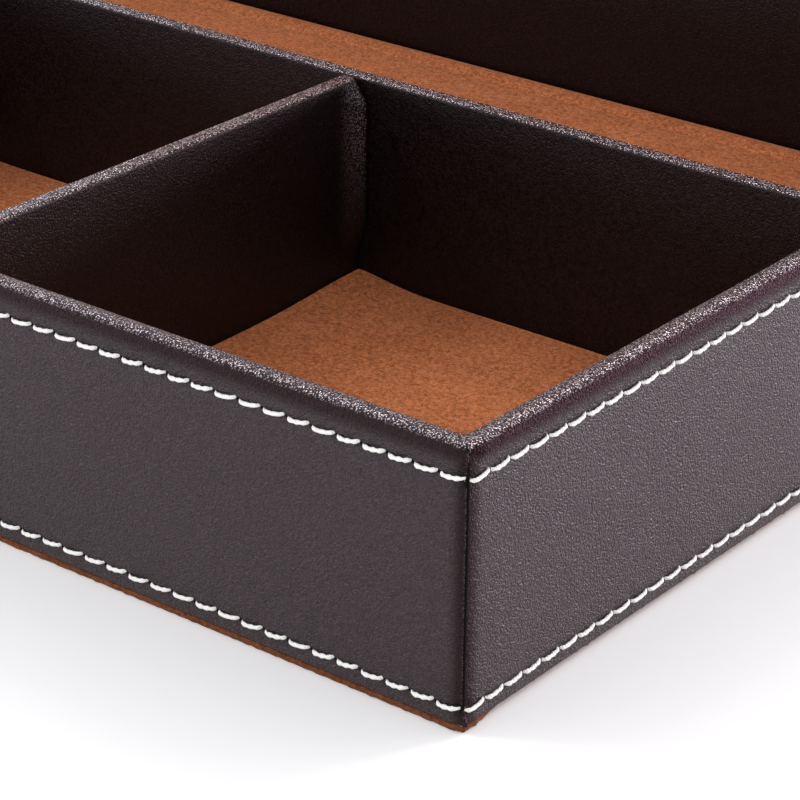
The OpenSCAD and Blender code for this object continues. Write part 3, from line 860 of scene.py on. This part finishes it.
def long_divider():
    """The skin of the long divider, from end wall to end wall."""
    own = bpy.context.scene.organizer_leather
    lo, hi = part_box("long_divider_cover")
    thick = hi.y - lo.y
    v, w, nv, nw = rim_path(thick, lo.z, lo.z, hi.z, own.rim_inner_radius,
                            own.rim_inner_radius)[:4]
    u = edge_places(hi.x - lo.x, 2.4 * MM)[:, None]
    edge = np.minimum(u, hi.x - lo.x - u)
    out = own.waviness * waves(u, w, 70 * MM) - rolled_edge(edge, 0.3 * MM)
    outer = np.stack(np.broadcast_arrays(lo.x + u, lo.y + v + nv * out, w + nw * out), -1)
    lining = np.stack(np.broadcast_arrays(lo.x + u, lo.y + v - nv * skin, w - nw * skin), -1)
    points, faces = thick_sheet(outer, lining)
    # The rim's rolled mask also gives its crests a painted glint
    roll = np.broadcast_to(rim_share(w, hi.z, own.rim_inner_radius), outer.shape[:2])
    # The divider stands inside the tray, so it takes the leatherette's darker copy: painted shade
    add_piece("long_divider_leather", points, faces, leatherette(inside=True), "tray",
              ["long_divider_cover"], both_faces(roll))


def cross_divider(name):
    """A cross divider's skin and board: the skin goes round the free end, whose top leans back."""
    own = bpy.context.scene.organizer_leather
    lo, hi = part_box(name + "_divider_cover")
    half, middle = (hi.x - lo.x) / 2, (hi.x + lo.x) / 2
    radius, edge_r = own.end_radius, own.rim_inner_radius
    # The free end is soft over its last 9 mm, and touches the long divider
    soft, touch = 9 * MM, 0.15 * MM
    reach = hi.y - lo.y + touch
    run = np.unique(np.concatenate([np.arange(0, reach - radius, 2.6 * MM),
                                    np.linspace(reach - soft, reach - radius, 9)]))
    bend = np.linspace(0, math.pi / 2, 8)[1:]
    flat = half - radius
    # Plan of the skin: across, along and outward normal, along one face, round and back
    face = [(half, a, 1.0, 0.0) for a in run]
    face += [(flat + radius * math.cos(a), reach - radius + radius * math.sin(a),
              math.cos(a), math.sin(a)) for a in bend]
    plan = face + [(-x, y, -nx, ny) for x, y, nx, ny in face[::-1]]
    across, along, nx, ny = (c[:, None] for c in np.array(plan).T)
    rise = np.linspace(lo.z, hi.z - edge_r, 26)
    arc = np.linspace(0, math.pi / 2, 8)[1:]
    level = np.concatenate([0 * rise, np.sin(arc), [1.0]])
    height = np.concatenate([rise, hi.z - edge_r + edge_r * np.sin(arc), [hi.z]])
    inward = np.concatenate([0 * rise, edge_r * (1 - np.cos(arc)), [half]])
    leaning = own.end_lean * np.clip(1 - (hi.z - height) / (8 * MM), 0, 1) ** 1.8
    near_end = smooth_step((along - reach + soft) / soft)

    # The wrapped end is a full fold: it swells to its sides, most of all to the right
    fold = smooth_step((along - reach + 6.5 * MM) / (6.5 * MM)) * smooth_step(
        (hi.z - height) / (5 * MM)) * smooth_step((height - 8 * MM) / (14 * MM))
    swelling = fold * own.end_flare / half * np.where(across > 0, 1.0, 0.3)

    def surface(offset, folded=1.0):
        """The skin's surface, or one that lies an offset inside it, with its fold or without."""
        inset = inward + offset * (1 - level)
        x = np.sign(across) * np.maximum(np.abs(across) - inset * np.abs(nx), 0)
        x = x * (1 + swelling * folded)
        x = np.where(level >= 1, 0, x)
        y = along - np.minimum(inset, half) * ny
        wobble = own.waviness * waves(along, height, 60 * MM) * (1 - level)
        return np.stack(np.broadcast_arrays(middle + x + nx * wobble,
                                            lo.y + y - leaning * near_end,
                                            height - offset * level), -1)

    points, faces = thick_sheet(surface(0.0), surface(skin))
    shape = (len(plan), len(height))
    # The end gets a little painted glint too, least at its foot
    tip = 0.25 * smooth_step(near_end * 1.3 - 0.2) * smooth_step(
        1 - (hi.z - height) / (30 * MM))
    roll = np.maximum(np.broadcast_to(rim_share(height, hi.z, edge_r), shape), tip)
    # The divider takes the leatherette's darker copy: painted shade
    weld(add_piece(name + "_divider_leather", points, faces, leatherette(inside=True), "tray",
                   [name + "_divider_cover"], both_faces(roll)))

    clearance = 0.03 * MM
    core = surface(skin + clearance, 0.0)
    rows, columns = core.shape[:2]
    faces = sheet_faces(rows, columns)
    k = np.arange(rows * columns).reshape(rows, columns)
    faces += [k[::-1, 0].tolist(), k[0].tolist() + k[-1, ::-1].tolist()]
    weld(add_piece(name + "_divider_core", core, faces, fibreboard(), "tray",
                   [name + "_divider_board"]))


class OrganizerDividers(Operator):
    """Wraps the long divider and the two cross dividers"""

    bl_idname = "organizer.dividers"
    bl_label = "Wrap the dividers"

    def execute(self, context):
        long_divider()
        for name in ("left", "right"):
            cross_divider(name)
        return {"FINISHED"}


# Pads and sheets with nested outlines


def outline(half_x, half_y, radius, step):
    """A closed rounded rectangle about the origin, its points an even step apart."""
    points = []
    for sx, sy, start in ((1, 1, 0), (-1, 1, 1), (-1, -1, 2), (1, -1, 3)):
        for a in np.linspace(0, math.pi / 2, 6):
            turn = start * math.pi / 2 + a
            points.append((sx * (half_x - radius) + radius * math.cos(turn),
                           sy * (half_y - radius) + radius * math.sin(turn)))
    filled = []
    for a, b in zip(points, points[1:] + points[:1]):
        gap = math.dist(a, b)
        parts = max(1, round(gap / step))
        filled += [(a[0] + (b[0] - a[0]) * k / parts, a[1] + (b[1] - a[1]) * k / parts)
                   for k in range(parts)]
    return np.array(filled)


def nested(half_x, half_y, radius, step, profile):
    """Rings of a closed slab: each profile row is an inset and a height."""
    base = outline(half_x, half_y, radius, step)
    rings = []
    for inset, height in profile:
        scale = np.array([(half_x - inset) / half_x, (half_y - inset) / half_y])
        ring = base * scale
        rings.append(np.column_stack([ring, np.full(len(ring), height)]))
    return np.array(rings)


def pad_profile(thick, edge, half):
    """Insets and heights of a pad from the edge of its underside, over its edge, to its middle."""
    arc = np.linspace(0, math.pi / 2, 6)
    rows = [(0.0, 0.0)]
    rows += [(edge - edge * math.cos(a), thick - edge + edge * math.sin(a)) for a in arc]
    insets = [edge + 0.6 * MM, edge + 1.4 * MM, 4 * MM]
    insets += [f * half for f in (0.12, 0.2, 0.3, 0.42, 0.55, 0.7, 0.85, 0.96)]
    rows += [(inset, thick) for inset in insets if edge < inset < half]
    return rows


def floor_pad(name, rear=False):
    """A suede pad, soft at its edge. The rear one has a bead and a crease along the rear wall,
    and each of the others curls up at its far left corner."""
    own = bpy.context.scene.organizer_suede
    lo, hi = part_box(name)
    # The pad reaches a little past its CAD box, up to the skins round it
    close = 0.22 * MM
    x0, x1, y0, y1 = lo.x - close, hi.x + close, lo.y - close, hi.y + close
    near = np.concatenate([[0], np.geomspace(0.08 * MM, 2.4 * MM, 7)])

    def places(start, stop, step):
        """Places from start to stop, close at both ends and about a step apart between them."""
        inner = np.linspace(start + near[-1], stop - near[-1],
                            max(3, round((stop - start) / step)))[1:-1]
        return np.concatenate([start + near, inner, stop - near[::-1]])

    x, y = places(x0, x1, 4 * MM)[:, None], places(y0, y1, 4 * MM)
    if rear:
        y = np.unique(np.concatenate([y, np.arange(y1 - 13 * MM, y1 - 2.5 * MM, 0.6 * MM)]))
    room = np.minimum(np.minimum(x - x0, x1 - x), np.minimum(y - y0, y1 - y))
    rise = -rolled_edge(room, own.edge) + own.crown * smooth_step(room / (12 * MM))
    rise = rise + 0.1 * MM * waves(x, y, 48 * MM) * smooth_step(room / (8 * MM))
    if rear:
        to_wall = y1 - y
        bead = 0.5 * MM * np.exp(-((to_wall - 3.2 * MM) / (2.0 * MM)) ** 2)
        crease = 0.6 * MM * np.exp(-((to_wall - 7.4 * MM) / (1.1 * MM)) ** 2)
        rise = rise + (bead - crease) * smooth_step(room / (2 * MM))
    curl = (0.0 if rear else own.curl) * np.exp(
        -((x - x0) / (10 * MM)) ** 2 - ((y1 - y) / (20 * MM)) ** 2)
    upper = np.stack(np.broadcast_arrays(x, y, hi.z + rise + curl), -1)
    under = np.stack(np.broadcast_arrays(x, y, lo.z + 0 * rise + curl), -1)
    points, faces = thick_sheet(upper, under)
    pad = add_piece(name + "_suede", points, faces, suede("suede_floor", 1.0), "tray",
                    [name])


def base_suede():
    """The sheet under the base, its cut edge a little uneven."""
    lo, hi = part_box("base_suede")
    half_x, half_y = (hi.x - lo.x) / 2, (hi.y - lo.y) / 2
    thick = hi.z - lo.z
    # Insets and heights from the middle of the underside round the cut edge and back
    profile = [(60 * MM, 0.0), (3 * MM, 0.0), (0.3 * MM, 0.0), (0.05 * MM, 0.25 * thick),
               (0.0, 0.55 * thick), (0.02 * MM, 0.85 * thick), (0.25 * MM, thick),
               (3 * MM, thick), (60 * MM, thick)]
    rings = nested(half_x, half_y, 1.5 * MM, 1.0 * MM, profile)
    angle = np.arctan2(rings[..., 1], rings[..., 0])
    ragged = 0.09 * MM * (np.sin(angle * 571) + np.sin(angle * 947 + 2))
    at_edge = np.array([inset < 1 * MM for inset, height in profile])[:, None]
    grow = 1 + at_edge * ragged / half_y
    rings[..., 0] *= grow
    rings[..., 1] *= grow
    # The sheet is cut a little short along the right side
    short = 1.1 * MM * smooth_step((rings[..., 1] + half_y - 3 * MM) / (9 * MM))
    rings[..., 0] -= short * np.clip((rings[..., 0] - half_x + 6 * MM) / (5 * MM), 0, 1)
    rings[..., 2] += lo.z
    # The sheet takes a darker copy of the suede: painted shade under the tray's walls
    add_piece("base_suede_sheet", rings, ring_faces(rings), suede("suede_base_shaded", 0.3), "tray",
              ["base_suede"])


class OrganizerFloors(Operator):
    """Lays the suede pads and the suede under the base"""

    bl_idname = "organizer.floors"
    bl_label = "Lay the suede"

    def execute(self, context):
        for name in ("left", "middle", "right"):
            floor_pad("floor_pad_" + name)
        floor_pad("floor_pad_rear", rear=True)
        base_suede()
        return {"FINISHED"}


# The lid, drawn shut and swung to its open rest


def lid_swing():
    """The turn that brings the shut lid to its open rest."""
    pin = Vector(hinge["pos_m"])
    shut = math.radians(hinge["range_deg"][1])
    return (Matrix.Translation(pin) @ Matrix.Rotation(-shut, 4, Vector(hinge["axis"]))
            @ Matrix.Translation(-pin))


def shut_box(node):
    """Lowest and highest corner of a lid node when the lid is shut."""
    back = lid_swing().inverted()
    points = [back @ v.co for v in frame["nodes"][node].data.vertices]
    return (Vector(min(p[i] for p in points) for i in range(3)),
            Vector(max(p[i] for p in points) for i in range(3)))


def lid_rows(upper_z):
    """The stitch rows on the lid's upper face, from the CAD thread's own place."""
    inner_lo, inner_hi = shut_box("lid_stitching")
    half = cad_thread / 2
    x, y0, y1 = inner_hi.x - half, inner_lo.y + half, inner_hi.y - half
    # The viewer of each row stands outside the lid, so up across a row points to the middle
    corners = [((-x, y0), (1, 0), (0, 1), 2 * x), ((x, y0), (0, 1), (-1, 0), y1 - y0),
               ((x, y1), (-1, 0), (0, -1), 2 * x), ((-x, y1), (0, -1), (1, 0), y1 - y0)]
    return [Row((*start, upper_z), (*along, 0), (*up, 0), total)
            for start, along, up, total in corners]


def lid_profile(thick, turn_in, seam):
    """Insets and heights of the lid's skin: its turned-in border below, its edge, its top."""
    radius, low_radius = bpy.context.scene.organizer_leather.rim_radius, 0.8 * MM
    arc = np.linspace(0, math.pi / 2, 7)
    rows = [(turn_in, 0.0), (turn_in * 0.7, 0.0), (turn_in * 0.4, 0.0), (2 * MM, 0.0)]
    rows += [(low_radius - low_radius * math.sin(a), low_radius - low_radius * math.cos(a))
             for a in arc]
    rows += [(0.0, thick * f) for f in (0.25, 0.4, 0.55, 0.7)]
    rows += [(radius - radius * math.cos(a), thick - radius + radius * math.sin(a))
             for a in arc]
    # On top the rows lie closest by the stitches, and ever further apart to the middle
    near = np.concatenate([np.arange(radius + 0.5 * MM, seam - 1.5 * MM, 0.7 * MM),
                           np.arange(seam - 1.4 * MM, seam + 1.5 * MM, 0.28 * MM)])
    far = [inset * MM for inset in (9, 11, 14, 19, 26, 36, 48, 62, 78, 94, 108, 118)]
    return rows + [(inset, thick) for inset in (*near, *far)]


def lid_cover():
    """The lid's skin: turned-in border below, rolled edge, and a lightly padded upper face."""
    own = bpy.context.scene.organizer_leather
    lo, hi = shut_box("lid_cover")
    half_x, half_y = (hi.x - lo.x) / 2, (hi.y - lo.y) / 2
    turn_in = shut_box("lid_lining")[0].x - lo.x - 0.3 * MM
    radius = own.rim_radius
    rows = lid_rows(hi.z)
    seam = rows[0].start[1] - lo.y
    rings = nested(half_x, half_y, 1.8 * MM, 2.5 * MM, lid_profile(hi.z - lo.z, turn_in, seam))
    centre = (lo + hi) / 2
    rings += np.array([centre.x, centre.y, lo.z])
    x, y, z = rings[..., 0], rings[..., 1], rings[..., 2]
    room = np.minimum(half_x - np.abs(x - centre.x), half_y - np.abs(y - centre.y))
    upper = (np.abs(z - hi.z) < 1e-7) * 1.0
    padded = own.puff * 1.5 * smooth_step((room - seam) / (12 * MM))
    collar = own.rim_puff * np.sin(math.pi * np.clip((room - radius) / (seam - radius), 0, 1))
    pulled = sum(row.pull(rings) for row in rows)
    wavy = own.waviness * waves(x, y, 80 * MM) * smooth_step(room / (10 * MM))
    rings[..., 2] = z + (padded + collar - pulled + wavy) * upper

    # The skin's inner face follows the board, so the piece is a closed shell
    lining = rings.copy()
    lining[..., 2] = np.where(upper > 0, hi.z - skin, np.clip(z, lo.z + skin, hi.z - skin))
    squeeze = 1 - skin / np.array([half_x, half_y])
    outside = (room < skin)[..., None]
    lining[..., :2] = np.where(outside, (rings[..., :2] - np.array(centre.xy)) * squeeze
                               + np.array(centre.xy), rings[..., :2])
    count, around = rings.shape[:2]
    total, last = count * around, (count - 1) * around
    faces = ring_faces(rings, closed_ends=False)
    faces += [[v + total for v in face[::-1]] for face in faces]
    k = np.arange(around)
    faces += [(last + k).tolist(), (total + last + k[::-1]).tolist()]
    faces += [[b, a, a + total, b + total] for a, b in zip(k.tolist(), np.roll(k, -1).tolist())]
    # The rolled edge's mask, which also gives the crests there a painted glint
    edge_share = 1 - smooth_step((room - radius) / (1.6 * MM))
    roll = edge_share * (0.25 + 0.5 * smooth_step((z - hi.z + 2.2 * MM) / (1.6 * MM)))
    add_piece("lid_leather", np.concatenate([rings.reshape(-1, 3), lining.reshape(-1, 3)]),
              faces, leatherette(), "lid", ["lid_cover"], both_faces(roll),
              placed=lid_swing())
    sew("lid_stitches", rows, "lid", ["lid_stitching"], placed=lid_swing(), seed=11)


def lid_lining():
    """The suede lining in the lid, its face down when the lid is shut."""
    own = bpy.context.scene.organizer_suede
    lo, hi = shut_box("lid_lining")
    half_x, half_y = (hi.x - lo.x) / 2, (hi.y - lo.y) / 2
    thick = hi.z - lo.z
    profile = pad_profile(thick, min(own.edge, thick * 0.8), half_y)
    rings = nested(half_x, half_y, 1.5 * MM, 2.5 * MM, profile)
    centre = (lo + hi) / 2
    rings = np.array([centre.x, centre.y, hi.z]) + rings * np.array([1, -1, -1])
    add_piece("lid_lining_suede", rings, ring_faces(rings), suede("suede_lining", 0.92),
              "lid", ["lid_lining"], placed=lid_swing())


def pull_tab():
    """The folded tab: a soft tongue, round at its free end."""
    lo, hi = shut_box("pull_tab")
    half, edge = (hi.x - lo.x) / 2, (hi.z - lo.z) / 2
    centre_y = lo.y + half
    turn = np.linspace(-math.pi, 0, 33)
    straight = np.linspace(centre_y, hi.y, 12)[1:]
    x, y = np.array([(-half, y) for y in straight[::-1]]
                    + [(half * math.cos(a), centre_y + half * math.sin(a)) for a in turn]
                    + [(half, y) for y in straight]).T

    def drawn_in(inset, height):
        """The tab's outline drawn in on all sides but its hinge end, at a height."""
        scale = 1 - inset / half
        drawn_y = np.where(y < centre_y, (y - centre_y) * scale + centre_y, y)
        return np.column_stack([x * scale, drawn_y, np.full(len(x), height)])

    rings = [drawn_in(edge * (1 - math.cos(a)), lo.z + edge + edge * math.sin(a))
             for a in np.linspace(-math.pi / 2, math.pi / 2, 9)]
    # Both faces dip along the tab's edge and rise to its middle: inset and rise in millimetres
    for inset, rise in ((1.4, 0.0), (2.0, -0.12), (2.6, 0.0), (4.5, 0.12), (7.0, 0.15)):
        rings.append(drawn_in(inset * MM, hi.z + rise * MM))
        rings.insert(0, drawn_in(inset * MM, lo.z - rise * MM))
    rings = np.array(rings)
    # The whole tab counts as a little rolled, so its crests get a faint painted glint
    add_piece("pull_tab_leather", rings, ring_faces(rings), leatherette(), "lid",
              ["pull_tab"], np.full(rings.shape[:2], 0.35), placed=lid_swing())


class OrganizerLid(Operator):
    """Wraps, sews and lines the lid"""

    bl_idname = "organizer.lid"
    bl_label = "Wrap and line the lid"

    def execute(self, context):
        lid_cover()
        lid_lining()
        pull_tab()
        return {"FINISHED"}


class OrganizerHardware(Operator):
    """Finishes the boards inside the skins, and the hinges and their screws"""

    bl_idname = "organizer.hardware"
    bl_label = "Finish the boards and hinges"

    def execute(self, context):
        for name, node in frame["nodes"].items():
            if name.endswith("_board"):
                finish = fibreboard()
            elif name.startswith("hinge_"):
                finish = brass()
            else:
                continue
            node.data.materials.clear()
            node.data.materials.append(finish)
        return {"FINISHED"}


# The stage


def seen_directly(graph):
    """1 for what the camera, a mirror or clear glass sees, 0 for light that falls on things."""
    path = graph.add("ShaderNodeLightPath")
    seen = graph.maths("MAXIMUM", path.outputs["Is Camera Ray"], path.outputs["Is Glossy Ray"])
    return graph.maths("MAXIMUM", seen, path.outputs["Is Transmission Ray"])


def floor():
    """A plain white floor that keeps the object's shadow."""
    half_size, drop = 8.0, 0.02 * MM
    made, graph, shader, place = new_material("floor_white")
    seen = seen_directly(graph)
    graph.feed(shader, {
        "Base Color": graph.mix(seen, opaque((0.8, 0.8, 0.81)), opaque((0.99, 0.985, 1.0))),
        "Emission Color": graph.mix(seen, opaque((0, 0, 0)), opaque((0.05, 0.05, 0.05))),
        "Emission Strength": 1.0, "Roughness": 0.8, "Specular IOR Level": 0.1})
    mesh = bpy.data.meshes.new("floor")
    mesh.from_pydata([(x * half_size, y * half_size, 0)
                      for x, y in ((-1, -1), (1, -1), (1, 1), (-1, 1))], [], [(0, 1, 2, 3)])
    mesh.materials.append(made)
    ground = bpy.data.objects.new("floor", mesh)
    ground.location.z = -drop
    bpy.context.scene.collection.objects.link(ground)


def room():
    """White surroundings, seen at full white."""
    own = bpy.context.scene.organizer_stage
    world = bpy.data.worlds.new("white_room")
    bpy.context.scene.world = world
    world.use_nodes = True
    graph = Graph(world.node_tree)
    strength = graph.range(seen_directly(graph), 0.0, 1.0, own.surroundings, 1.0)
    graph.feed(world.node_tree.nodes["Background"], {"Color": opaque((1.0, 0.99, 1.0)),
                                                     "Strength": strength})


def softbox(name, power, place, aim_z, width, height, tint=(1.0, 1.0, 1.0)):
    """A rectangular lamp at a place, turned to a point above the middle of the tray."""
    lamp = bpy.data.lights.new(name, "AREA")
    lamp.color = tint
    lamp.shape = "RECTANGLE"
    lamp.size, lamp.size_y = width, height
    lamp.energy = power
    holder = bpy.data.objects.new(name, lamp)
    holder.location = place
    holder.rotation_mode = "QUATERNION"
    holder.rotation_quaternion = (Vector((0, 0, aim_z)) - Vector(place)).to_track_quat("-Z", "Y")
    bpy.context.scene.collection.objects.link(holder)


def camera():
    """The photograph's view of the front right corner."""
    own = bpy.context.scene.organizer_stage
    a, e, r = own.azimuth, own.elevation, own.roll
    ahead = Vector((-math.cos(e) * math.sin(a), math.cos(e) * math.cos(a), -math.sin(e)))
    right = Vector((math.cos(a), math.sin(a), 0))
    up = right.cross(ahead)
    side = math.cos(r) * right + math.sin(r) * up
    rise = -math.sin(r) * right + math.cos(r) * up
    lens = bpy.data.cameras.new("camera")
    lens.lens = own.lens
    lens.sensor_width = 36.0
    lens.clip_start, lens.clip_end = 0.01, 50
    eye = bpy.data.objects.new("camera", lens)
    corner = Vector((tray_hi.x, tray_lo.y, 0))
    turned = Matrix((side, rise, -ahead)).transposed().to_4x4()
    eye.matrix_world = Matrix.Translation(corner + Vector(own.eye)) @ turned
    bpy.context.scene.collection.objects.link(eye)
    bpy.context.scene.camera = eye


class OrganizerStage(Operator):
    """Sets up the floor, the white room, the lamps and the camera"""

    bl_idname = "organizer.stage"
    bl_label = "Set up the stage"

    def execute(self, context):
        own = context.scene.organizer_stage
        context.scene.view_settings.view_transform = "Standard"
        floor()
        room()
        # Power, place, height of the aim, width and height of each lamp; the low ones are
        # tinted, pink at the right and cool at the left
        softbox("key_softbox", own.key, (0.68, 1.14, 0.89), 0, 0.3, 0.3)
        softbox("rear_softbox", own.rear, (-0.74, 0.95, 1.16), 0, 0.65, 0.65)
        softbox("left_softbox", own.left, (-0.84, -0.64, 1.07), 0, 0.28, 0.28)
        softbox("front_softbox", own.front, (0.8, -1.1, 0.9), 0, 1.0, 1.0)
        softbox("low_right_softbox", own.low_right, (0.95, 1.2, 0.14), 0.02, 0.9, 0.26,
                (1.0, 0.88, 0.96))
        softbox("low_left_softbox", own.low_left, (-0.95, -1.2, 0.14), 0.02, 0.9, 0.26,
                (0.86, 0.97, 1.0))
        camera()
        return {"FINISHED"}


class OrganizerPanel(Panel):
    """Lists the organizer's steps in the sidebar"""

    bl_label = "Desk organizer"
    bl_idname = "VIEW3D_PT_organizer"
    bl_space_type = "VIEW_3D"
    bl_region_type = "UI"
    bl_category = "Organizer"

    def draw(self, context):
        for step in STEPS:
            self.layout.operator(step.bl_idname)


SETTINGS = {"organizer_leather": LeatherSettings, "organizer_stitches": StitchSettings,
            "organizer_suede": SuedeSettings, "organizer_stage": StageSettings}
STEPS = (OrganizerStage, OrganizerWalls, OrganizerDividers, OrganizerFloors, OrganizerLid,
         OrganizerHardware)


def register():
    """Makes the settings, the steps and the panel known to Blender."""
    for made in (*SETTINGS.values(), *STEPS, OrganizerPanel):
        bpy.utils.register_class(made)
    for name, settings in SETTINGS.items():
        setattr(bpy.types.Scene, name, PointerProperty(type=settings))


def unregister():
    """Takes them away again."""
    for name in SETTINGS:
        delattr(bpy.types.Scene, name)
    for made in (OrganizerPanel, *reversed(STEPS), *SETTINGS.values()):
        bpy.utils.unregister_class(made)


def main():
    """Dresses the frame, one step after the other."""
    register()
    bpy.ops.organizer.stage()
    bpy.ops.organizer.walls()
    bpy.ops.organizer.dividers()
    bpy.ops.organizer.floors()
    bpy.ops.organizer.lid()
    bpy.ops.organizer.hardware()


if __name__ == "__main__":
    main()
